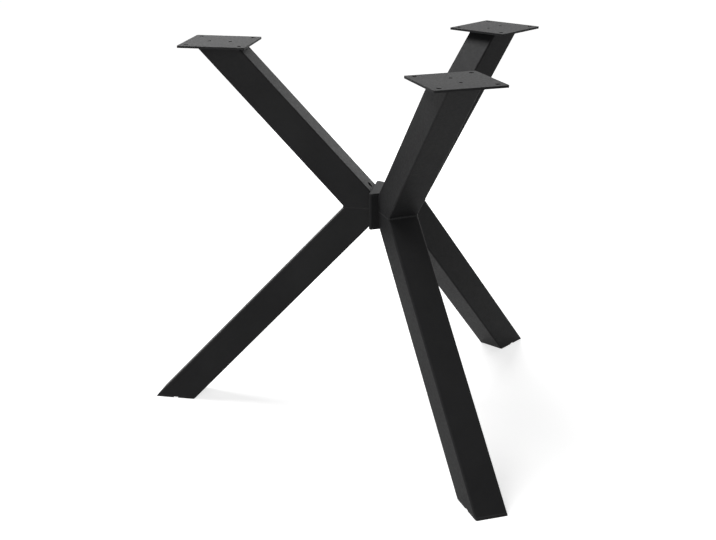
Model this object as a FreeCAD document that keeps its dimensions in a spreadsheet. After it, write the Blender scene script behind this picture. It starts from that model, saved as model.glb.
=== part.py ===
"""Three-legged X-shaped table base of welded square tube, in millimetres, with +Z up.

The hub's axis is the Z axis, and z = 0 is the top face of the three plates, where a table top
sits. Each leg is a sideways V of two square tubes, mitred at the notch and cut square against
one face of a three-sided hub. A leg's own frame has X running out along the leg, Y across it and
its origin on the hub's axis at the height of the mitre. The whole leg leans a little about its
own X axis, so its tubes are trimmed level where they meet the foot cap and the top plate.
"""
import FreeCAD, Part
import math
import os

import Sketcher

os.makedirs("parts", exist_ok=True)
document = FreeCAD.newDocument("table_base")

SIZES = {
    "height": (730, "floor to the top face of the plates"),
    "joint_height": (425, "floor to the mitre between a leg's two tubes"),
    "first_leg_azimuth": (180, "direction of the left leg, degrees from +X"),
    "lean_angle": (1.9, "sideways lean of each leg about its own radial line, degrees"),
    "tube_side": (60, "outside width of the square tube"),
    "tube_wall": (2, "wall of the square tube"),
    "tube_corner_radius": (3, "outside radius of the tube's long edges"),
    "notch_radius": (80, "hub axis to the outer point of the mitre"),
    "upper_angle": (46.2, "rise of the upper tube from level, degrees"),
    "lower_angle": (47.1, "fall of the lower tube from level, degrees"),
    "drain_diameter": (12, "hole through each tube's inner wall beside the hub"),
    "drain_offset": (6, "hub face to the middle of that hole, measured level"),
    "plate_side": (130, "side of the square top plate"),
    "plate_thickness": (4, "thickness of the top plate"),
    "plate_corner_radius": (3, "corner radius of the top plate"),
    "plate_hole_diameter": (9, "fixing holes in the top plate"),
    "plate_hole_inset": (14, "plate edge to the middle of a fixing hole"),
    "vent_diameter": (7, "vent holes in the top plate, over the tube's bore"),
    "vent_pitch": (41, "distance between the two vent holes"),
    "hub_face_radius": (29.3, "hub axis to each of its three faces"),
    "hub_height": (71, "hub with both covers on"),
    "hub_wall": (5, "wall of the three-sided hub"),
    "hub_corner_radius": (4, "outside corner radius of the hub"),
    "cover_thickness": (3, "thickness of the hub's covers"),
    "cover_edge_chamfer": (0.8, "bevel around the covers' outer rim"),
    "cover_rim_depth": (5, "depth of a cover's rim inside the hub"),
    "cover_rim_wall": (2, "wall of that rim"),
    "fit_clearance": (0.3, "gap on each side of a plastic cap or cover in its bore"),
    "end_plate_thickness": (6, "plate welded inside the leg's mouth"),
    "stud_diameter": (8, "weld stud on the end plate"),
    "stud_length": (16, "stud from the hub face inwards"),
    "stud_hole_clearance": (0.5, "gap around a stud in the hub's wall"),
    "nut_rim_gap": (2.5, "gap between a nut's corner and a cover's rim"),
    "nut_width": (13, "nut across its flats"),
    "nut_thickness": (6.5, "thickness of the nut"),
    "thread_clearance": (0.05, "gap around a stud in its nut"),
    "cap_thickness": (3, "foot cap below the end of the tube"),
    "cap_rim_depth": (12, "height of the cap's rim inside the tube"),
    "cap_rim_wall": (2.5, "wall of that rim"),
    "cap_groove_width": (10, "relief groove across the underside of the cap"),
    "cap_groove_depth": (2, "depth of that groove"),
}

LEGS = ("left", "front", "right")
COVERS = (("top", 1, 0), ("bottom", -1, 180))

sheet = document.addObject("Spreadsheet::Sheet", "Sizes")
for row, (alias, (value, note)) in enumerate(SIZES.items(), start=1):
    sheet.set(f"A{row}", alias)
    sheet.set(f"B{row}", str(value))
    sheet.set(f"C{row}", note)
    sheet.setAlias(f"B{row}", alias)
document.recompute()

# Lengths that several pieces share, as formulas of the driving sizes, in a leg's own frame.
PLATE_UNDERSIDE = "(Sizes.height - Sizes.plate_thickness - Sizes.joint_height)"
CAP_TOP = "(Sizes.cap_thickness - Sizes.joint_height)"
FLOOR = "(-Sizes.joint_height)"
BORE_SIDE = "(Sizes.tube_side - 2 * Sizes.tube_wall)"
BORE_RADIUS = "max(0.1; Sizes.tube_corner_radius - Sizes.tube_wall)"
PLUG_SIDE = f"({BORE_SIDE} - 2 * Sizes.fit_clearance)"
MITRE_ANGLE = "((Sizes.upper_angle - Sizes.lower_angle) / 2)"
REACH = "(Sizes.height + Sizes.notch_radius + Sizes.plate_side)"
PLATE_CENTRE = (
    f"(Sizes.notch_radius + {PLATE_UNDERSIDE} / tan(Sizes.upper_angle)"
    " - Sizes.tube_side / 2 / sin(Sizes.upper_angle))"
)
FOOT_CENTRE = (
    "(Sizes.notch_radius + Sizes.joint_height / tan(Sizes.lower_angle)"
    " - Sizes.tube_side / 2 / sin(Sizes.lower_angle))"
)
INNER_HUB_FACE = "(Sizes.hub_face_radius - Sizes.hub_wall)"
NUT_CORNER_RADIUS = "(Sizes.nut_width / sqrt(3))"
STUD_HEIGHT = (
    "(Sizes.hub_height / 2 - Sizes.cover_thickness - Sizes.cover_rim_depth"
    f" - Sizes.nut_rim_gap - {NUT_CORNER_RADIUS})"
)

NUT_SIDES = 6
PARALLEL = 0.999
SLOPING = 0.1


def value_of(expression):
    """Gives a formula's value now, to draw a sketch near where its constraints will put it."""
    return float(sheet.evalExpression(expression))


def azimuth(leg):
    """Gives the formula of a leg's direction in degrees."""
    return f"(Sizes.first_leg_azimuth + {LEGS.index(leg)} * 360 / {len(LEGS)})"


def place(item, turn, roll="0", rise="0"):
    """Places an object on the hub's axis, turned about Z by turn and about its own X by roll."""
    rotation = f"rotation({turn}; 0; {roll})"
    height = f"Sizes.joint_height - Sizes.height + {rise}"
    item.setExpression("Placement", f"placement(vector(0; 0; {height}); {rotation})")


def new_body(label, turn, roll="0", rise="0"):
    """Starts a body whose label names its file."""
    body = document.addObject("PartDesign::Body", label)
    body.Label = label
    place(body, turn, roll, rise)
    return body


def new_sketch(body, name, role, offset=None):
    """Adds a sketch on one of the body's origin planes, moved by an optional placement formula."""
    sketch = body.newObject("Sketcher::SketchObject", name)
    plane = next(item for item in body.Origin.OriginFeatures if item.Role == role)
    sketch.AttachmentSupport = [(plane, "")]
    sketch.MapMode = "FlatFace"
    if offset:
        sketch.setExpression("AttachmentOffset", offset)
    return sketch


def dimension(sketch, name, formula, kind, *where):
    """Adds one driving dimension to a sketch and binds it to a formula."""
    number = value_of(formula)
    index = sketch.addConstraint(Sketcher.Constraint(kind, *where, number))
    sketch.renameConstraint(index, name)
    sketch.setExpression(f"Constraints.{name}", formula)


def add_outline(sketch, points):
    """Draws a closed outline of straight lines and returns the index of its first line."""
    first = sketch.GeometryCount
    count = len(points)
    for index in range(count):
        start, end = points[index], points[(index + 1) % count]
        line = Part.LineSegment(FreeCAD.Vector(*start, 0), FreeCAD.Vector(*end, 0))
        sketch.addGeometry(line, False)
    for index in range(count):
        following = first + (index + 1) % count
        sketch.addConstraint(Sketcher.Constraint("Coincident", first + index, 2, following, 1))
    return first


def add_rectangle(sketch, left, low, width, depth, tag="box"):
    """Draws a rectangle from its lower left corner, all four values being formulas."""
    x, y, w, d = (value_of(formula) for formula in (left, low, width, depth))
    first = add_outline(sketch, [(x, y), (x + w, y), (x + w, y + d), (x, y + d)])
    for line in (first, first + 2):
        sketch.addConstraint(Sketcher.Constraint("Horizontal", line))
    for line in (first + 1, first + 3):
        sketch.addConstraint(Sketcher.Constraint("Vertical", line))
    dimension(sketch, f"{tag}_left", left, "DistanceX", -1, 1, first, 1)
    dimension(sketch, f"{tag}_low", low, "DistanceY", -1, 1, first, 1)
    dimension(sketch, f"{tag}_width", width, "DistanceX", first, 1, first, 2)
    dimension(sketch, f"{tag}_depth", depth, "DistanceY", first + 1, 1, first + 1, 2)


def add_rounded_square(sketch, side, radius, tag):
    """Draws a square with rounded corners about the sketch's origin."""
    half, r = value_of(side) / 2, value_of(radius)
    first = sketch.GeometryCount
    for quarter in range(4):
        turn = FreeCAD.Rotation(FreeCAD.Vector(0, 0, 1), 90 * quarter)
        start = turn.multVec(FreeCAD.Vector(r - half, -half, 0))
        end = turn.multVec(FreeCAD.Vector(half - r, -half, 0))
        middle = turn.multVec(FreeCAD.Vector(half - r, r - half, 0))
        circle = Part.Circle(middle, FreeCAD.Vector(0, 0, 1), r)
        stop = quarter * math.pi / 2
        sketch.addGeometry(Part.LineSegment(start, end), False)
        sketch.addGeometry(Part.ArcOfCircle(circle, stop - math.pi / 2, stop), False)
    for step in range(8):
        here, following = first + step, first + (step + 1) % 8
        sketch.addConstraint(Sketcher.Constraint("Tangent", here, 2, following, 1))
    for line, kind in ((0, "Horizontal"), (2, "Vertical"), (4, "Horizontal"), (6, "Vertical")):
        sketch.addConstraint(Sketcher.Constraint(kind, first + line))
    for arc in (3, 5, 7):
        sketch.addConstraint(Sketcher.Constraint("Equal", first + 1, first + arc))
    sketch.addConstraint(Sketcher.Constraint("Symmetric", first + 1, 3, first + 5, 3, -1, 1))
    dimension(sketch, f"{tag}_radius", radius, "Radius", first + 1)
    dimension(sketch, f"{tag}_across", side, "DistanceX", first + 6, 1, first + 2, 1)
    dimension(sketch, f"{tag}_along", side, "DistanceY", first, 1, first + 4, 1)


def add_triangle(sketch, face_radius, tag):
    """Draws an equal-sided triangle about the origin, one face of it square to +X."""
    radius = value_of(face_radius)
    half_side = radius * math.sqrt(3)
    first = add_outline(sketch, [(radius, -half_side), (radius, half_side), (-2 * radius, 0)])
    for line in (first + 1, first + 2):
        sketch.addConstraint(Sketcher.Constraint("Equal", first, line))
    sketch.addConstraint(Sketcher.Constraint("Vertical", first))
    sketch.addConstraint(Sketcher.Constraint("PointOnObject", first + 2, 1, -1))
    dimension(sketch, f"{tag}_face", face_radius, "DistanceX", -1, 1, first, 1)
    dimension(sketch, f"{tag}_corner", f"2 * {face_radius}", "DistanceX", first + 2, 1, -1, 1)


def add_circle(sketch, x, y, diameter, tag):
    """Draws a circle whose middle and diameter are formulas."""
    middle = FreeCAD.Vector(value_of(x), value_of(y), 0)
    circle = Part.Circle(middle, FreeCAD.Vector(0, 0, 1), value_of(diameter) / 2)
    index = sketch.addGeometry(circle, False)
    dimension(sketch, f"{tag}_x", x, "DistanceX", -1, 1, index, 3)
    dimension(sketch, f"{tag}_y", y, "DistanceY", -1, 1, index, 3)
    dimension(sketch, f"{tag}_diameter", diameter, "Diameter", index)


def add_pad(body, sketch, name, length, both_ways=False, reverse=False):
    """Pads a sketch by a formula's length, to one side or half to each."""
    pad = body.newObject("PartDesign::Pad", name)
    pad.Profile = sketch
    pad.SideType = "Symmetric" if both_ways else "One side"
    pad.Reversed = reverse
    pad.setExpression("Length", length)
    return pad


def add_pocket(body, sketch, name, both_ways=True, reverse=False):
    """Cuts a sketch through the whole body, to both sides or to one."""
    pocket = body.newObject("PartDesign::Pocket", name)
    pocket.Profile = sketch
    pocket.Type = "ThroughAll"
    pocket.SideType = "Symmetric" if both_ways else "One side"
    pocket.Reversed = reverse
    return pocket


def cut_away(body, name, role, offset):
    """Cuts away all that lies on the +Y side of a line, which the placement formula sets."""
    sketch = new_sketch(body, f"{name}_line", role, offset)
    add_rectangle(sketch, f"-{REACH}", "0", f"2 * {REACH}", f"2 * {REACH}")
    add_pocket(body, sketch, name)


def trim_level(body, name, level, keep_below):
    """Trims a leaning piece by a truly level plane at a height measured from the mitre."""
    turn = "-Sizes.lean_angle" if keep_below else "180 - Sizes.lean_angle"
    offset = f"placement(vector(0; {level} / cos(Sizes.lean_angle); 0); rotation({turn}; 0; 0))"
    cut_away(body, name, "YZ_Plane", offset)


def round_edges(body, base, name, radius, wanted):
    """Fillets those edges of a feature that the test picks."""
    document.recompute()
    names = [f"Edge{i}" for i, edge in enumerate(base.Shape.Edges, start=1) if wanted(edge)]
    fillet = body.newObject("PartDesign::Fillet", name)
    fillet.Base = (base, names)
    fillet.setExpression("Radius", radius)
    return fillet


def is_upright(edge):
    """Tells whether an edge runs along Z."""
    return abs(edge.tangentAt(edge.FirstParameter).z) > PARALLEL


def is_sloping(edge):
    """Tells whether an edge rises or falls along X."""
    direction = edge.tangentAt(edge.FirstParameter)
    return min(abs(direction.x), abs(direction.z)) > SLOPING


def add_stud_circles(sketch, diameter):
    """Draws the circles of a leg's two studs, one over the other about the sketch's origin."""
    for number, side in enumerate((1, -1), start=1):
        add_circle(sketch, "0", f"{side} * {STUD_HEIGHT}", diameter, f"stud_{number}")


class Arm:
    """Where one of a leg's two tubes runs, as formulas in the leg's own frame."""

    def __init__(self, name, sign, angle):
        self.name = name
        self.sign = sign
        self.angle = angle

    def section_offset(self):
        """Gives the placement of a sketch square across the tube, on its centre line."""
        x = f"Sizes.notch_radius - Sizes.tube_side / 2 * sin({self.angle})"
        z = f"{self.sign} * Sizes.tube_side / 2 * cos({self.angle})"
        return f"placement(vector({x}; 0; {z}); rotation(0; 90 - {self.sign} * {self.angle}; 0))"

    def inner_wall_height(self, x):
        """Gives the height over the mitre of the tube's inner outside face at x."""
        slope = f"({x} - Sizes.notch_radius) * tan({self.angle})"
        return f"{self.sign} * ({slope} + Sizes.tube_side / cos({self.angle}))"

    def drain_offset(self):
        """Gives the placement of a sketch on the inner face, its normal pointing out of the tube."""
        x = "(Sizes.hub_face_radius + Sizes.drain_offset)"
        turn = f"90 - {self.sign} * (90 + {self.angle})"
        return f"placement(vector({x}; 0; {self.inner_wall_height(x)}); rotation(0; {turn}; 0))"

    def bore_line_offset(self):
        """Gives the line along the bore's inner side, the wall and all beyond it being on +Y."""
        depth = "(Sizes.tube_side - Sizes.tube_wall)"
        x = f"Sizes.notch_radius - {depth} * sin({self.angle})"
        z = f"{self.sign} * {depth} * cos({self.angle})"
        turn = f"90 - {self.sign} * 90 + {self.sign} * {self.angle}"
        return f"placement(vector({x}; {z}; 0); rotation({turn}; 0; 0))"


UPPER = Arm("upper", 1, "Sizes.upper_angle")
LOWER = Arm("lower", -1, "Sizes.lower_angle")


def make_arm(leg, arm):
    """Makes one square tube, mitred, cut square at the hub, trimmed level and drained."""
    body = new_body(f"{leg}_{arm.name}_arm", azimuth(leg), "Sizes.lean_angle")
    section = new_sketch(body, "section", "XY_Plane", arm.section_offset())
    add_rounded_square(section, "Sizes.tube_side", "Sizes.tube_corner_radius", "outside")
    add_rounded_square(section, BORE_SIDE, BORE_RADIUS, "bore")
    add_pad(body, section, "tube", f"2 * {REACH}", both_ways=True)
    mitre_turn = f"{MITRE_ANGLE} + 90 + {arm.sign} * 90"
    mitre = f"placement(vector(Sizes.notch_radius; 0; 0); rotation({mitre_turn}; 0; 0))"
    cut_away(body, "mitre", "XZ_Plane", mitre)
    hub_face = "placement(vector(Sizes.hub_face_radius; 0; 0); rotation(90; 0; 0))"
    cut_away(body, "hub_end", "XZ_Plane", hub_face)
    if arm is UPPER:
        trim_level(body, "plate_end", PLATE_UNDERSIDE, keep_below=True)
    else:
        trim_level(body, "floor_end", CAP_TOP, keep_below=False)
    drain = new_sketch(body, "drain_middle", "XY_Plane", arm.drain_offset())
    add_circle(drain, "0", "0", "Sizes.drain_diameter", "drain")
    pocket = body.newObject("PartDesign::Pocket", "drain")
    pocket.Profile = drain
    pocket.setExpression("Length", "Sizes.tube_side / 2")
    return body


def make_end_plate(leg):
    """Makes the plate that closes the leg's mouth, bevelled along both bores, with its two studs."""
    body = new_body(f"{leg}_end_plate", azimuth(leg), "Sizes.lean_angle")
    outline = new_sketch(body, "outline", "XZ_Plane")
    add_rectangle(outline, "Sizes.hub_face_radius", "-Sizes.hub_height",
                  "Sizes.end_plate_thickness", "2 * Sizes.hub_height")
    add_pad(body, outline, "blank", BORE_SIDE, both_ways=True)
    for arm in (UPPER, LOWER):
        cut_away(body, f"{arm.name}_bevel", "XZ_Plane", arm.bore_line_offset())
    round_edges(body, body.Tip, "rounded_corners", BORE_RADIUS, is_sloping)
    face = "placement(vector(0; 0; Sizes.hub_face_radius); rotation(0; 0; 0))"
    studs = new_sketch(body, "stud_middles", "YZ_Plane", face)
    add_stud_circles(studs, "Sizes.stud_diameter")
    add_pad(body, studs, "studs", "Sizes.stud_length", reverse=True)
    return body


def make_top_plate(leg):
    """Makes the square plate on the upper tube, with four fixing holes and two vents."""
    body = new_body(f"{leg}_top_plate", azimuth(leg))
    sideways = f"-{PLATE_UNDERSIDE} * tan(Sizes.lean_angle)"
    offset = f"placement(vector({PLATE_CENTRE}; {sideways}; {PLATE_UNDERSIDE}); rotation(0; 0; 0))"
    outline = new_sketch(body, "outline", "XY_Plane", offset)
    add_rounded_square(outline, "Sizes.plate_side", "Sizes.plate_corner_radius", "plate")
    add_pad(body, outline, "plate", "Sizes.plate_thickness")
    holes = new_sketch(body, "hole_middles", "XY_Plane", offset)
    corner = "(Sizes.plate_side / 2 - Sizes.plate_hole_inset)"
    for number, (x, y) in enumerate(((1, 1), (-1, 1), (-1, -1), (1, -1)), start=1):
        add_circle(holes, f"{x} * {corner}", f"{y} * {corner}", "Sizes.plate_hole_diameter",
                   f"fixing_{number}")
    for number, x in enumerate((1, -1), start=1):
        add_circle(holes, f"{x} * Sizes.vent_pitch / 2", "0", "Sizes.vent_diameter", f"vent_{number}")
    add_pocket(body, holes, "holes")
    return body


def make_foot_cap(leg):
    """Makes the moulded cap that closes the lower tube, with a rim inside and a groove below."""
    body = new_body(f"{leg}_foot_cap", azimuth(leg), "Sizes.lean_angle")
    section = new_sketch(body, "outer_section", "XY_Plane", LOWER.section_offset())
    add_rounded_square(section, "Sizes.tube_side", "Sizes.tube_corner_radius", "outside")
    add_pad(body, section, "sole", f"2 * {REACH}", both_ways=True)
    trim_level(body, "sole_top", CAP_TOP, keep_below=True)
    rim = new_sketch(body, "rim_section", "XY_Plane", LOWER.section_offset())
    add_rounded_square(rim, PLUG_SIDE, BORE_RADIUS, "rim_outside")
    add_rounded_square(rim, f"({PLUG_SIDE} - 2 * Sizes.cap_rim_wall)", BORE_RADIUS, "rim_inside")
    add_pad(body, rim, "rim", f"2 * {REACH}", both_ways=True)
    trim_level(body, "rim_top", f"({CAP_TOP} + Sizes.cap_rim_depth)", keep_below=True)
    trim_level(body, "sole_bottom", FLOOR, keep_below=False)
    level_plane = (
        f"placement(vector({FOOT_CENTRE}; {FLOOR} * cos(Sizes.lean_angle);"
        f" -1 * {FLOOR} * sin(Sizes.lean_angle)); rotation(0; 0; -Sizes.lean_angle))"
    )
    groove = new_sketch(body, "groove_outline", "XZ_Plane", level_plane)
    add_rectangle(groove, "-Sizes.cap_groove_width / 2", "-Sizes.cap_groove_depth",
                  "Sizes.cap_groove_width", "2 * Sizes.cap_groove_depth")
    add_pocket(body, groove, "groove")
    return body


def make_hub():
    """Makes the three-sided tube that the legs are bolted to, drilled for their studs."""
    body = new_body("hub_body", azimuth("left"))
    length = "(Sizes.hub_height - 2 * Sizes.cover_thickness)"
    outline = new_sketch(body, "outline", "XY_Plane")
    add_triangle(outline, "Sizes.hub_face_radius", "outside")
    block = add_pad(body, outline, "block", length, both_ways=True)
    round_edges(body, block, "rounded_corners", "Sizes.hub_corner_radius", is_upright)
    bore = new_sketch(body, "bore_outline", "XY_Plane")
    add_triangle(bore, INNER_HUB_FACE, "bore")
    add_pocket(body, bore, "bore")
    holes = new_sketch(body, "stud_holes_middles", "YZ_Plane",
                       "placement(vector(0; 0; 0); rotation(Sizes.lean_angle; 0; 0))")
    add_stud_circles(holes, "(Sizes.stud_diameter + 2 * Sizes.stud_hole_clearance)")
    stud_holes = add_pocket(body, holes, "stud_holes", both_ways=False, reverse=True)
    pattern = body.newObject("PartDesign::PolarPattern", "stud_holes_all_round")
    pattern.Originals = [stud_holes]
    axis = next(item for item in body.Origin.OriginFeatures if item.Role == "Z_Axis")
    pattern.Axis = (axis, [""])
    pattern.Angle = 360
    pattern.Occurrences = len(LEGS)
    body.Tip = pattern
    return body


def make_cover(name, side, roll):
    """Makes one of the hub's two moulded covers, with a rim that sits inside the hub."""
    seat = f"{side} * (Sizes.hub_height / 2 - Sizes.cover_thickness)"
    body = new_body(f"hub_{name}_cover", azimuth("left"), str(roll), seat)
    outline = new_sketch(body, "outline", "XY_Plane")
    add_triangle(outline, "Sizes.hub_face_radius", "outside")
    lid = add_pad(body, outline, "lid", "Sizes.cover_thickness")
    rounded = round_edges(body, lid, "rounded_corners", "Sizes.hub_corner_radius", is_upright)
    document.recompute()
    top = max(range(len(rounded.Shape.Faces)), key=lambda i: rounded.Shape.Faces[i].CenterOfMass.z)
    bevel = body.newObject("PartDesign::Chamfer", "bevelled_edge")
    bevel.Base = (rounded, [f"Face{top + 1}"])
    bevel.setExpression("Size", "Sizes.cover_edge_chamfer")
    rim = new_sketch(body, "rim_outline", "XY_Plane")
    rim_radius = f"({INNER_HUB_FACE} - Sizes.fit_clearance)"
    add_triangle(rim, rim_radius, "rim_outside")
    add_triangle(rim, f"({rim_radius} - Sizes.cover_rim_wall)", "rim_inside")
    add_pad(body, rim, "rim", "Sizes.cover_rim_depth", reverse=True)
    return body


def make_nut(name, side):
    """Makes one six-sided nut, laid on its stud against the inside of the hub."""
    blank = document.addObject("Part::Prism", f"{name}_blank")
    blank.Polygon = NUT_SIDES
    blank.setExpression("Circumradius", NUT_CORNER_RADIUS)
    blank.setExpression("Height", "Sizes.nut_thickness")
    bore = document.addObject("Part::Cylinder", f"{name}_bore")
    bore.setExpression("Radius", "Sizes.stud_diameter / 2 + Sizes.thread_clearance")
    bore.setExpression("Height", "Sizes.nut_thickness")
    nut = document.addObject("Part::Cut", name)
    nut.Base = blank
    nut.Tool = bore
    seat = f"vector({INNER_HUB_FACE}; 0; {side} * {STUD_HEIGHT})"
    nut.setExpression("Placement", f"placement({seat}; rotation(0; -90; 0))")
    return nut


def make_nuts(leg):
    """Makes the two nuts that hold a leg to the hub."""
    pair = document.addObject("Part::Compound", f"{leg}_nuts")
    pair.Label = f"{leg}_nuts"
    pair.Links = [make_nut(f"{leg}_upper_nut", 1), make_nut(f"{leg}_lower_nut", -1)]
    place(pair, azimuth(leg), "Sizes.lean_angle")
    return pair


pieces = [make_hub()]
for cover in COVERS:
    pieces.append(make_cover(*cover))
for leg in LEGS:
    pieces.append(make_arm(leg, UPPER))
    pieces.append(make_arm(leg, LOWER))
    pieces.append(make_end_plate(leg))
    pieces.append(make_top_plate(leg))
    pieces.append(make_foot_cap(leg))
    pieces.append(make_nuts(leg))
document.recompute()

for item in document.Objects:
    faults = [state for state in item.State if state in ("Invalid", "Error")]
    if faults:
        raise RuntimeError(f"{item.Name} is {faults}")
for piece in pieces:
    if piece.Shape.isNull() or not piece.Shape.isValid():
        raise RuntimeError(f"{piece.Label} has no sound shape")
    piece.Shape.exportStep(f"parts/{piece.Label}.step")
    print(f"{piece.Label}: {len(piece.Shape.Solids)} solid, {piece.Shape.Volume:.0f} cubic mm")
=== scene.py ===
"""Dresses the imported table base: coated steel, moulded caps, welds, studio and camera.

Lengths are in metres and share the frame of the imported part: +Z is up, the hub's axis is the
Z axis, and z = 0 is the plane on which a table top rests. The floor is 0.73 m below it.
"""

import logging
import math
from dataclasses import dataclass
from enum import Enum

import bmesh
import bpy
from mathutils import Matrix, Vector


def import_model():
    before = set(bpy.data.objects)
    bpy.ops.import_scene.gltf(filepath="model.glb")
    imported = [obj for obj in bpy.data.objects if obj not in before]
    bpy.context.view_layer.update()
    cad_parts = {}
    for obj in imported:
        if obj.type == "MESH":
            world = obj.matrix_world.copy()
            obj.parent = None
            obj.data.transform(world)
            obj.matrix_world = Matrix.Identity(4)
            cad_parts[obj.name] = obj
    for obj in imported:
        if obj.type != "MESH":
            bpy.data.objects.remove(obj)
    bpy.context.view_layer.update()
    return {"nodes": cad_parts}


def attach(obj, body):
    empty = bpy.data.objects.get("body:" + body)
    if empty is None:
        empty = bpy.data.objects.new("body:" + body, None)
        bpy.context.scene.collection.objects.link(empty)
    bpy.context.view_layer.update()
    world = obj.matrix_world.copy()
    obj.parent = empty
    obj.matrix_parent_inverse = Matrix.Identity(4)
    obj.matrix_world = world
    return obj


Colour = tuple[float, float, float]
Point = tuple[float, float, float]
Band = tuple[float, float]
Nodes = dict[str, bpy.types.Object]

BODY = "root"
UP = Vector((0.0, 0.0, 1.0))
LEVEL: Point = (1.0, 1.0, 0.0)
QUARTER_TURN = math.pi / 2
WHITE = 1.0
WHOLE: Band = (0.0, 1.0)

# A Mix node has its two colours and its mixed colour at these places among its sockets.
MIX_LOW, MIX_HIGH, MIX_RESULT = 6, 7, 2

log = logging.getLogger("table_base")


def grey(tone: float) -> tuple[float, float, float, float]:
    """Gives a plain grey as a colour socket wants it."""
    return (tone, tone, tone, 1.0)


class Slot(Enum):
    """The record's material slots."""

    COATED_STEEL = "coated_steel"
    BLACK_PLASTIC = "black_plastic"
    ZINC_STEEL = "zinc_steel"


class LegName(Enum):
    """The three legs, each with the direction in degrees in which it runs out."""

    LEFT = ("left", 180.0)
    FRONT = ("front", 300.0)
    RIGHT = ("right", 60.0)

    @property
    def prefix(self) -> str:
        """Gives the first word of the leg's node names."""
        return self.value[0]

    @property
    def azimuth(self) -> float:
        """Gives the leg's direction in radians."""
        return math.radians(self.value[1])


class LegPart(Enum):
    """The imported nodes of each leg, with the last words of their names and their slots."""

    UPPER_ARM = ("upper_arm", Slot.COATED_STEEL)
    LOWER_ARM = ("lower_arm", Slot.COATED_STEEL)
    END_PLATE = ("end_plate", Slot.COATED_STEEL)
    TOP_PLATE = ("top_plate", Slot.COATED_STEEL)
    FOOT_CAP = ("foot_cap", Slot.BLACK_PLASTIC)
    NUTS = ("nuts", Slot.ZINC_STEEL)

    @property
    def suffix(self) -> str:
        """Gives the last words of the node's name."""
        return self.value[0]

    @property
    def slot(self) -> Slot:
        """Gives the node's material slot."""
        return self.value[1]


@dataclass(frozen=True)
class Pattern:
    """A noise pattern: its features per metre, its finer layers and the part of it that is used."""

    per_metre: float
    layers: float
    band: Band = (0.3, 0.7)


class Wiring:
    """A small helper that adds and joins the nodes of one material or of the world."""

    def __init__(self, tree: bpy.types.NodeTree, output: str) -> None:
        """Empties a node tree and gives it its output.

        Args:
            tree: The node tree.
            output: The type name of its output node.
        """
        self.tree = tree
        self.tree.nodes.clear()
        self.output = self.add(output)

    def add(self, kind: str, **settings: object) -> bpy.types.Node:
        """Adds one node.

        Args:
            kind: The node's type name.
            **settings: Attributes set on the node.

        Returns:
            The new node.
        """
        node = self.tree.nodes.new(kind)
        for name, value in settings.items():
            setattr(node, name, value)
        return node

    def join(self, value: bpy.types.NodeSocket, socket: bpy.types.NodeSocket) -> None:
        """Joins one node's output to another's input."""
        self.tree.links.new(value, socket)

    def arithmetic(
        self, operation: str, first: bpy.types.NodeSocket, second: bpy.types.NodeSocket | float
    ) -> bpy.types.NodeSocket:
        """Works one value out from two.

        Args:
            operation: The name of the Math node's operation.
            first: The first value.
            second: The second value, or a plain number.

        Returns:
            The value worked out.
        """
        node = self.add("ShaderNodeMath", operation=operation)
        self.join(first, node.inputs[0])
        if isinstance(second, float):
            node.inputs[1].default_value = second
        else:
            self.join(second, node.inputs[1])
        return node.outputs["Value"]

    def spread(
        self,
        value: bpy.types.NodeSocket,
        source: Band,
        result: Band = WHOLE,
        course: str = "LINEAR",
    ) -> bpy.types.NodeSocket:
        """Maps a value from one range to another and holds it inside.

        Args:
            value: The socket that is mapped.
            source: The range read.
            result: The range given.
            course: How the value runs from one end to the other.

        Returns:
            The mapped value.
        """
        node = self.add("ShaderNodeMapRange", interpolation_type=course)
        node.inputs["From Min"].default_value = source[0]
        node.inputs["From Max"].default_value = source[1]
        node.inputs["To Min"].default_value = result[0]
        node.inputs["To Max"].default_value = result[1]
        self.join(value, node.inputs["Value"])
        return node.outputs["Result"]

    def mirrored(self, light: bpy.types.Node) -> bpy.types.NodeSocket:
        """Gives 1 for what a Light Path node meets in a reflection or through glass, or else 0."""
        ways = (light.outputs["Is Glossy Ray"], light.outputs["Is Transmission Ray"])
        return self.arithmetic("MAXIMUM", *ways)


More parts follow.
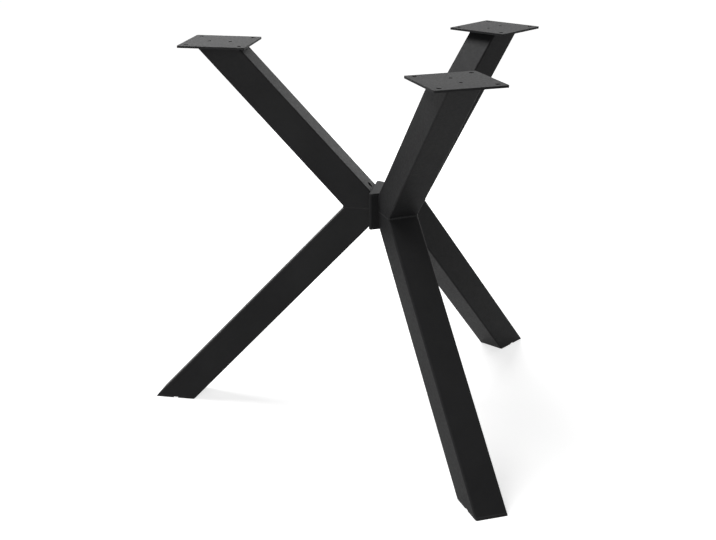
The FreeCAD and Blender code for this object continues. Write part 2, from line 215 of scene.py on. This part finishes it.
class Graph(Wiring):
    """The nodes of one finish on the object, round one shader."""

    noise_roughness: float = 0.6
    edge_samples: int = 6

    def __init__(self, name: str) -> None:
        """Starts an empty node material.

        Args:
            name: The material's name.
        """
        self.material = bpy.data.materials.new(name)
        self.material.use_nodes = True
        super().__init__(self.material.node_tree, "ShaderNodeOutputMaterial")
        self.shader = self.add("ShaderNodeBsdfPrincipled")
        self.join(self.shader.outputs["BSDF"], self.output.inputs["Surface"])
        self.place = self.add("ShaderNodeTexCoord").outputs["Object"]

    def noise(self, pattern: Pattern) -> bpy.types.NodeSocket:
        """Adds a noise pattern in the piece's own coordinates.

        Args:
            pattern: The pattern that is added.

        Returns:
            The pattern's value, from 0 to 1.
        """
        node = self.add("ShaderNodeTexNoise")
        node.inputs["Scale"].default_value = pattern.per_metre
        node.inputs["Detail"].default_value = pattern.layers
        node.inputs["Roughness"].default_value = self.noise_roughness
        self.join(self.place, node.inputs["Vector"])
        return node.outputs["Fac"]

    def patches(self, pattern: Pattern, result: Band = WHOLE) -> bpy.types.NodeSocket:
        """Adds a noise pattern with its used part spread over a range."""
        return self.spread(self.noise(pattern), pattern.band, result)

    def tint(
        self,
        factor: bpy.types.NodeSocket,
        low: Colour | bpy.types.NodeSocket,
        high: Colour | bpy.types.NodeSocket,
    ) -> bpy.types.NodeSocket:
        """Mixes two colours by a factor.

        Args:
            factor: The socket that mixes them.
            low: The colour or colour socket at 0.
            high: The colour or colour socket at 1.

        Returns:
            The mixed colour.
        """
        node = self.add("ShaderNodeMix", data_type="RGBA")
        self.join(factor, node.inputs["Factor"])
        for socket, colour in ((node.inputs[MIX_LOW], low), (node.inputs[MIX_HIGH], high)):
            if isinstance(colour, tuple):
                socket.default_value = (*colour, 1.0)
            else:
                self.join(colour, socket)
        return node.outputs[MIX_RESULT]

    def bump(
        self,
        height: bpy.types.NodeSocket,
        depth: float,
        strength: float,
        below: bpy.types.NodeSocket | None = None,
    ) -> bpy.types.NodeSocket:
        """Adds one layer of bump.

        Args:
            height: The pattern that raises the surface.
            depth: Its full height in metres.
            strength: How much of it is used.
            below: The normal of the layer under it, or None.

        Returns:
            The bumped normal.
        """
        node = self.add("ShaderNodeBump")
        node.inputs["Distance"].default_value = depth
        node.inputs["Strength"].default_value = strength
        self.join(height, node.inputs["Height"])
        if below is not None:
            self.join(below, node.inputs["Normal"])
        return node.outputs["Normal"]

    def edges(self, radius: float, turn: Band) -> bpy.types.NodeSocket:
        """Finds the piece's own edges and corners.

        Args:
            radius: How far in from an edge they are felt, in metres.
            turn: The turn of the surface, as a cosine, at which they start and are full.

        Returns:
            A value of 1 on an edge and 0 on a flat.
        """
        softened = self.add("ShaderNodeBevel", samples=self.edge_samples)
        softened.inputs["Radius"].default_value = radius
        surface = self.add("ShaderNodeNewGeometry")
        cosine = self.add("ShaderNodeVectorMath", operation="DOT_PRODUCT")
        self.join(softened.outputs["Normal"], cosine.inputs[0])
        self.join(surface.outputs["Normal"], cosine.inputs[1])
        return self.spread(cosine.outputs["Value"], turn)

    def feed(self, label: str, value: bpy.types.NodeSocket | float) -> None:
        """Gives one of the shader's sockets its value.

        Args:
            label: The socket's label.
            value: The value joined to it, or a plain number.
        """
        if isinstance(value, float):
            self.shader.inputs[label].default_value = value
        else:
            self.join(value, self.shader.inputs[label])


@dataclass(frozen=True)
class PowderCoat:
    """Matt black powder coat: a fine baked grain over a soft orange peel, with a painted highlight
    along the edges.
    """

    name: str = "powder_coat"
    slot: Slot = Slot.COATED_STEEL
    dark: Colour = (0.0148, 0.0148, 0.0153)
    pale: Colour = (0.0198, 0.0198, 0.0203)
    cloud: Pattern = Pattern(9.0, 4.0, (0.35, 0.65))
    grain: Pattern = Pattern(1100.0, 3.0, (0.56, 0.78))
    grain_colour: Colour = (0.026, 0.026, 0.027)
    grain_depth: float = 0.00005
    grain_strength: float = 0.55
    peel: Pattern = Pattern(210.0, 2.0)
    peel_depth: float = 0.00010
    peel_strength: float = 0.35
    # A lighter colour painted along the edges as a highlight, in place of the light that the rounded
    # edges catch.
    edge_colour: Colour = (0.034, 0.034, 0.035)
    edge_width: float = 0.0032
    edge_turn: Band = (0.995, 0.93)
    # Patches that break up the painted edge highlight, and how much of it they let through.
    scuff: Pattern = Pattern(38.0, 5.0, (0.30, 0.60))
    scuff_share: Band = (0.45, 1.0)
    roughness: Band = (0.46, 0.58)
    specular: float = 0.08

    def make(self) -> bpy.types.Material:
        """Builds the coat's node material.

        Returns:
            The material.
        """
        graph = Graph(self.name)
        cloud = graph.patches(self.cloud)
        grain = graph.noise(self.grain)
        peel = graph.noise(self.peel)
        speck = graph.spread(grain, self.grain.band)
        coat = graph.tint(speck, graph.tint(cloud, self.dark, self.pale), self.grain_colour)
        # The edge mask, broken into patches, mixes the lighter edge colour into the coat: a painted
        # highlight along the edges.
        scuff = graph.patches(self.scuff, self.scuff_share)
        painted_edge_highlight = graph.arithmetic("MULTIPLY", graph.edges(self.edge_width, self.edge_turn), scuff)
        graph.feed("Base Color", graph.tint(painted_edge_highlight, coat, self.edge_colour))
        graph.feed("Roughness", graph.spread(peel, self.peel.band, self.roughness))
        graph.feed("Specular IOR Level", self.specular)
        soft = graph.bump(peel, self.peel_depth, self.peel_strength)
        graph.feed("Normal", graph.bump(grain, self.grain_depth, self.grain_strength, soft))
        return graph.material


@dataclass(frozen=True)
class MouldedPlastic:
    """Black moulded plastic with a spark-eroded grain."""

    name: str = "moulded_plastic"
    slot: Slot = Slot.BLACK_PLASTIC
    dark: Colour = (0.0085, 0.0085, 0.0090)
    pale: Colour = (0.0125, 0.0125, 0.0130)
    flow: Pattern = Pattern(35.0, 2.0)
    grain: Pattern = Pattern(1700.0, 4.0)
    grain_depth: float = 0.00004
    grain_strength: float = 0.6
    roughness: Band = (0.50, 0.64)
    specular: float = 0.14

    def make(self) -> bpy.types.Material:
        """Builds the plastic's node material.

        Returns:
            The material.
        """
        graph = Graph(self.name)
        flow = graph.patches(self.flow)
        grain = graph.noise(self.grain)
        graph.feed("Base Color", graph.tint(flow, self.dark, self.pale))
        graph.feed("Roughness", graph.spread(grain, self.grain.band, self.roughness))
        graph.feed("Specular IOR Level", self.specular)
        graph.feed("Normal", graph.bump(grain, self.grain_depth, self.grain_strength))
        return graph.material


@dataclass(frozen=True)
class ZincPlate:
    """Bright zinc on small steel fasteners, with a little cloudiness."""

    name: str = "zinc_plate"
    slot: Slot = Slot.ZINC_STEEL
    dark: Colour = (0.46, 0.47, 0.48)
    pale: Colour = (0.66, 0.67, 0.66)
    cloud: Pattern = Pattern(260.0, 5.0)
    turning: Pattern = Pattern(2600.0, 2.0)
    turning_depth: float = 0.00002
    turning_strength: float = 0.4
    roughness: Band = (0.24, 0.46)
    metal: float = 1.0

    def make(self) -> bpy.types.Material:
        """Builds the zinc's node material.

        Returns:
            The material.
        """
        graph = Graph(self.name)
        cloud = graph.patches(self.cloud)
        turning = graph.noise(self.turning)
        graph.feed("Base Color", graph.tint(cloud, self.dark, self.pale))
        graph.feed("Roughness", graph.spread(cloud, WHOLE, self.roughness))
        graph.feed("Metallic", self.metal)
        graph.feed("Normal", graph.bump(turning, self.turning_depth, self.turning_strength))
        return graph.material


class Finishes:
    """Makes each finish once and puts it on the pieces."""

    def __init__(self) -> None:
        """Makes the materials of all the finishes."""
        self.materials = {
            finish.slot: finish.make() for finish in (PowderCoat(), MouldedPlastic(), ZincPlate())
        }
        self.weld = PowderCoat(
            name="powder_coat_on_weld",
            dark=(0.0150, 0.0150, 0.0155),
            pale=(0.0200, 0.0200, 0.0205),
            roughness=(0.40, 0.52),
            specular=0.11,
            peel=Pattern(420.0, 2.0),
            peel_depth=0.00016,
        ).make()

    def dress(self, node: bpy.types.Object, slot: Slot) -> None:
        """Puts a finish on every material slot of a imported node.

        Args:
            node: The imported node's object.
            slot: The record's slot whose finish it takes.
        """
        if not node.material_slots:
            node.data.materials.append(self.materials[slot])
        for holder in node.material_slots:
            holder.material = self.materials[slot]


@dataclass
class Bead:
    """A weld bead: a rippled round, swept along a nearly level path that lies on the steel."""

    name: str
    path: list[Vector]
    radii: list[float]
    closed: bool
    ripple: float = 0.10
    ripple_length: float = 0.0032
    sides: int = 10

    def make(self, material: bpy.types.Material) -> None:
        """Sweeps the bead and puts it on the part's body.

        Args:
            material: The coat on the bead.
        """
        mesh = bmesh.new()
        rings = [self.ring(mesh, index) for index in range(len(self.path))]
        count = len(rings)
        for index in range(count if self.closed else count - 1):
            here, following = rings[index], rings[(index + 1) % count]
            for side in range(self.sides):
                after = (side + 1) % self.sides
                mesh.faces.new((here[side], here[after], following[after], following[side]))
        if not self.closed:
            mesh.faces.new(list(reversed(rings[0])))
            mesh.faces.new(rings[-1])
        bmesh.ops.recalc_face_normals(mesh, faces=mesh.faces)
        for face in mesh.faces:
            face.smooth = True
        data = bpy.data.meshes.new(self.name)
        mesh.to_mesh(data)
        mesh.free()
        data.materials.append(material)
        piece = bpy.data.objects.new(self.name, data)
        bpy.context.scene.collection.objects.link(piece)
        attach(piece, BODY)

    def ring(self, mesh: bmesh.types.BMesh, index: int) -> list[bmesh.types.BMVert]:
        """Adds one ring of points square across the path.

        Args:
            mesh: The mesh that takes the points.
            index: The path point that the ring goes round.

        Returns:
            The ring's points in order.
        """
        count = len(self.path)
        before = self.path[index - 1 if index or self.closed else 0]
        after = self.path[(index + 1) % count if self.closed else min(index + 1, count - 1)]
        along = (after - before).normalized()
        side = along.cross(UP).normalized()
        over = side.cross(along)
        step = (self.path[1] - self.path[0]).length
        wave = math.sin(math.tau * index * step / self.ripple_length)
        radius = self.radii[index] * (1.0 + self.ripple * wave)
        points = []
        for number in range(self.sides):
            angle = math.tau * number / self.sides
            offset = math.cos(angle) * side + math.sin(angle) * over
            points.append(mesh.verts.new(self.path[index] + radius * offset))
        return points


@dataclass(frozen=True)
class Leg:
    """One sideways V of two square tubes, with its top plate and foot cap.

    In the leg's own frame X runs out from the hub's axis to the corner of the notch, Y across
    the tubes and Z up. The whole frame leans about X.
    """

    name: LegName
    tube_side: float = 0.060
    corner_radius: float = 0.003
    corner_steps: int = 6
    notch_radius: float = 0.080
    joint_height: float = -0.305
    upper_angle: float = math.radians(46.2)
    lower_angle: float = math.radians(47.1)
    lean: float = math.radians(1.9)
    hub_face: float = 0.0293
    hub_gap: float = 0.0005
    plate_underside: float = -0.004
    plate_weld: float = 0.0028
    notch_weld: float = 0.0031
    seam_weld: float = 0.0005
    step: float = 0.0008

    def frame(self) -> Matrix:
        """Gives the placement of the leg's own frame.

        Returns:
            The placement, lifted to the joint, turned to the leg's direction and leaned.
        """
        lift = Matrix.Translation((0.0, 0.0, self.joint_height))
        turn = Matrix.Rotation(self.name.azimuth, 4, "Z")
        return lift @ turn @ Matrix.Rotation(self.lean, 4, "X")

    def section(self) -> list[Vector]:
        """Gives the tube's rounded outline.

        Returns:
            Its points, as depth from the tube's middle towards the notch and place across it.
        """
        half, radius = self.tube_side / 2, self.corner_radius
        outline = []
        for quarter in range(4):
            turn = Matrix.Rotation(quarter * QUARTER_TURN, 2)
            middle = turn @ Vector((half - radius, half - radius))
            for part in range(self.corner_steps + 1):
                angle = QUARTER_TURN * (quarter + part / self.corner_steps)
                outline.append(middle + radius * Vector((math.cos(angle), math.sin(angle))))
        return outline

    def resampled(self, corners: list[Vector], closed: bool) -> list[Vector]:
        """Spaces points evenly along a line of corners.

        Args:
            corners: The line's corners.
            closed: Whether it returns to its start.

        Returns:
            The evenly spaced points.
        """
        ends = corners + [corners[0]] if closed else corners
        lengths = [(b - a).length for a, b in zip(ends, ends[1:])]
        count = round(sum(lengths) / self.step)
        spacing = sum(lengths) / count
        points, run, index = [], 0.0, 0
        for number in range(count if closed else count + 1):
            distance = number * spacing
            while index < len(lengths) - 1 and distance > run + lengths[index]:
                run += lengths[index]
                index += 1
            share = (distance - run) / lengths[index]
            points.append(ends[index].lerp(ends[index + 1], min(1.0, share)))
        return points

    def plate_weld_path(self) -> list[Vector]:
        """Finds the line in which the upper tube's outside meets the underside of the plate.

        Returns:
            The line's evenly spaced points.
        """
        place = self.frame()
        along = Vector((math.cos(self.upper_angle), 0.0, math.sin(self.upper_angle)))
        outward = Vector((math.sin(self.upper_angle), 0.0, -math.cos(self.upper_angle)))
        middle = Vector((self.notch_radius, 0.0, 0.0)) - self.tube_side / 2 * outward
        rise = place.to_3x3() @ along
        corners = []
        for depth, across in self.section():
            start = place @ (middle + depth * outward + Vector((0.0, across, 0.0)))
            corners.append(start + rise * ((self.plate_underside - start.z) / rise.z))
        return self.resampled(corners, closed=True)

    def mitre_path(self) -> tuple[list[Vector], list[float]]:
        """Finds the mitre's line, along one side face, through the notch and back along the other.

        Returns:
            The line's evenly spaced points, and the weld's radius at each of them.
        """
        half, radius = self.tube_side / 2, self.corner_radius
        # Seen from above, the mitre cuts the rounded corner into an arc stretched along X.
        stretch = 1.0 / math.sin(self.upper_angle)
        corners = [Vector((self.hub_face + self.hub_gap, half, 0.0))]
        for part in range(self.corner_steps + 1):
            angle = QUARTER_TURN * (1.0 - part / self.corner_steps)
            x = self.notch_radius - radius * stretch * (1.0 - math.cos(angle))
            corners.append(Vector((x, half - radius + radius * math.sin(angle), 0.0)))
        corners += [Vector((corner.x, -corner.y, 0.0)) for corner in reversed(corners)]
        # The mitre halves the angle between the tubes, so it slopes where their angles differ.
        slope = math.tan((self.upper_angle - self.lower_angle) / 2)
        place = self.frame()
        path, radii = [], []
        for point in self.resampled(corners, closed=False):
            height = slope * (point.x - self.notch_radius)
            share = min(1.0, max(0.0, (half - abs(point.y)) / radius))
            path.append(place @ Vector((point.x, point.y, height)))
            radii.append(self.seam_weld + (self.notch_weld - self.seam_weld) * share)
        return path, radii

    def build(self, nodes: Nodes, finishes: Finishes) -> list[str]:
        """Makes the leg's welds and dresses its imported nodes.

        Args:
            nodes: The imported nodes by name.
            finishes: The finishes that the leg takes.

        Returns:
            The names of the pieces made and dressed.
        """
        prefix = self.name.prefix
        plate_path = self.plate_weld_path()
        plate_radii = [self.plate_weld] * len(plate_path)
        plate_bead = Bead(f"{prefix}_plate_weld", plate_path, plate_radii, closed=True)
        mitre_bead = Bead(f"{prefix}_mitre_weld", *self.mitre_path(), closed=False)
        pieces = []
        for bead in (plate_bead, mitre_bead):
            bead.make(finishes.weld)
            pieces.append(bead.name)
        for part in LegPart:
            name = f"{prefix}_{part.suffix}"
            finishes.dress(nodes[name], part.slot)
            pieces.append(name)
        return pieces


@dataclass(frozen=True)
class Hub:
    """The three-sided hub and its two moulded covers."""

    body: str = "hub_body"
    covers: tuple[str, ...] = ("hub_top_cover", "hub_bottom_cover")

    def build(self, nodes: Nodes, finishes: Finishes) -> list[str]:
        """Dresses the hub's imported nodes.

        Args:
            nodes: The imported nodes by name.
            finishes: The finishes that the hub takes.

        Returns:
            The names of the pieces dressed.
        """
        finishes.dress(nodes[self.body], Slot.COATED_STEEL)
        for cover in self.covers:
            finishes.dress(nodes[cover], Slot.BLACK_PLASTIC)
        return [self.body, *self.covers]


@dataclass(frozen=True)
class Softbox:
    """One large soft lamp that looks at the hub, placed by its direction and rise in degrees."""

    name: str
    direction: float
    rise: float
    power: float
    distance: float = 2.6
    width: float = 1.6
    height: float = 1.4
    aim: Point = (0.0, 0.0, -0.35)

    def make(self) -> bpy.types.Object:
        """Adds the lamp and turns it to what it lights.

        Returns:
            The lamp's object.
        """
        turn, rise = math.radians(self.direction), math.radians(self.rise)
        level = self.distance * math.cos(rise)
        away = Vector((level * math.cos(turn), level * math.sin(turn), self.distance * math.sin(rise)))
        lamp = bpy.data.lights.new(self.name, "AREA")
        lamp.shape = "RECTANGLE"
        lamp.size = self.width
        lamp.size_y = self.height
        lamp.energy = self.power
        holder = bpy.data.objects.new(self.name, lamp)
        holder.location = Vector(self.aim) + away
        holder.rotation_euler = (-away).to_track_quat("-Z", "Y").to_euler()
        bpy.context.scene.collection.objects.link(holder)
        return holder


@dataclass(frozen=True)
class Studio:
    """The pale floor, the white surround, the lamps and the camera."""

    floor_height: float = -0.73
    floor_half: float = 14.0
    floor_tone: float = 0.62
    floor_shine: float = 0.46
    floor_lift: float = 0.73
    lift_reach: Band = (0.35, 1.15)
    surround: float = 0.02
    camera_place: Point = (0.36409, -2.29337, 0.39588)
    camera_direction: float = math.radians(100.4422)
    camera_fall: float = math.radians(-19.7364)
    lens: float = 63.108
    sensor: float = 36.0
    lamps: tuple[Softbox, ...] = (
        Softbox("key_softbox", 167.0, 58.0, 68.0),
        Softbox("front_softbox", 258.0, 13.0, 22.5),
        Softbox("back_softbox", 90.0, 12.0, 3.2),
        Softbox("side_softbox", 126.0, 10.5, 9.5),
        Softbox("edge_softbox", 60.0, 14.0, 15.5),
    )

    def build(self) -> list[str]:
        """Makes the floor, surround, lamps and camera.

        Returns:
            The names of the objects made.
        """
        floor = self.make_floor()
        self.make_surround()
        made = [floor, *(lamp.make() for lamp in self.lamps), self.make_camera()]
        return [piece.name for piece in made]

    def floor_paint(self) -> bpy.types.Material:
        """Builds a pale paint, lifted to white for the camera further out, away from the shadow.

        Returns:
            The floor's material.
        """
        material = bpy.data.materials.new("studio_floor")
        material.use_nodes = True
        wiring = Wiring(material.node_tree, "ShaderNodeOutputMaterial")
        paint = wiring.add("ShaderNodeBsdfDiffuse")
        paint.inputs["Color"].default_value = grey(self.floor_tone)
        light = wiring.add("ShaderNodeLightPath")
        shone = wiring.arithmetic("MULTIPLY", wiring.mirrored(light), self.floor_shine)
        level = wiring.add("ShaderNodeVectorMath", operation="MULTIPLY")
        level.inputs[1].default_value = LEVEL
        wiring.join(wiring.add("ShaderNodeTexCoord").outputs["Object"], level.inputs[0])
        reach = wiring.add("ShaderNodeVectorMath", operation="LENGTH")
        wiring.join(level.outputs["Vector"], reach.inputs[0])
        lifted = (self.floor_lift, WHITE)
        outward = wiring.spread(reach.outputs["Value"], self.lift_reach, lifted, "SMOOTHSTEP")
        seen = wiring.arithmetic("MULTIPLY", light.outputs["Is Camera Ray"], outward)
        lift = wiring.add("ShaderNodeEmission")
        wiring.join(wiring.arithmetic("ADD", seen, shone), lift.inputs["Strength"])
        total = wiring.add("ShaderNodeAddShader")
        wiring.join(paint.outputs["BSDF"], total.inputs[0])
        wiring.join(lift.outputs["Emission"], total.inputs[1])
        wiring.join(total.outputs["Shader"], wiring.output.inputs["Surface"])
        return material

    def make_floor(self) -> bpy.types.Object:
        """Lays the floor under the feet.

        Returns:
            The floor's object.
        """
        half, z = self.floor_half, self.floor_height
        corners = [(x * half, y * half, z) for x, y in ((-1, -1), (1, -1), (1, 1), (-1, 1))]
        data = bpy.data.meshes.new("studio_floor")
        data.from_pydata(corners, [], [(0, 1, 2, 3)])
        data.materials.append(self.floor_paint())
        piece = bpy.data.objects.new("studio_floor", data)
        bpy.context.scene.collection.objects.link(piece)
        return piece

    def make_surround(self) -> None:
        """Gives the world a plain light, and a white look in the camera and in reflections."""
        world = bpy.data.worlds.new("surround")
        bpy.context.scene.world = world
        world.use_nodes = True
        wiring = Wiring(world.node_tree, "ShaderNodeOutputWorld")
        light = wiring.add("ShaderNodeLightPath")
        seen = wiring.arithmetic("MAXIMUM", light.outputs["Is Camera Ray"], wiring.mirrored(light))
        mix = wiring.add("ShaderNodeMixShader")
        wiring.join(seen, mix.inputs["Fac"])
        for place, tone in enumerate((self.surround, WHITE), start=1):
            background = wiring.add("ShaderNodeBackground")
            background.inputs["Color"].default_value = grey(tone)
            wiring.join(background.outputs["Background"], mix.inputs[place])
        wiring.join(mix.outputs["Shader"], wiring.output.inputs["Surface"])

    def make_camera(self) -> bpy.types.Object:
        """Sets the camera where the photograph was taken from.

        Returns:
            The camera's object.
        """
        data = bpy.data.cameras.new("photo_camera")
        data.sensor_width = self.sensor
        data.lens = self.lens
        camera = bpy.data.objects.new("photo_camera", data)
        camera.location = self.camera_place
        tip = QUARTER_TURN + self.camera_fall
        camera.rotation_euler = (tip, 0.0, self.camera_direction - QUARTER_TURN)
        bpy.context.scene.collection.objects.link(camera)
        bpy.context.scene.camera = camera
        return camera


def main() -> None:
    """Loads the frame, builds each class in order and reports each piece."""
    logging.basicConfig(level=logging.INFO, format="%(name)s: %(message)s")
    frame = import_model()
    bpy.context.scene.view_settings.view_transform = "Standard"
    nodes = frame["nodes"]
    finishes = Finishes()
    pieces = Studio().build() + Hub().build(nodes, finishes)
    for name in LegName:
        pieces += Leg(name).build(nodes, finishes)
    for piece in pieces:
        log.info("built %s", piece)


if __name__ == "__main__":
    main()
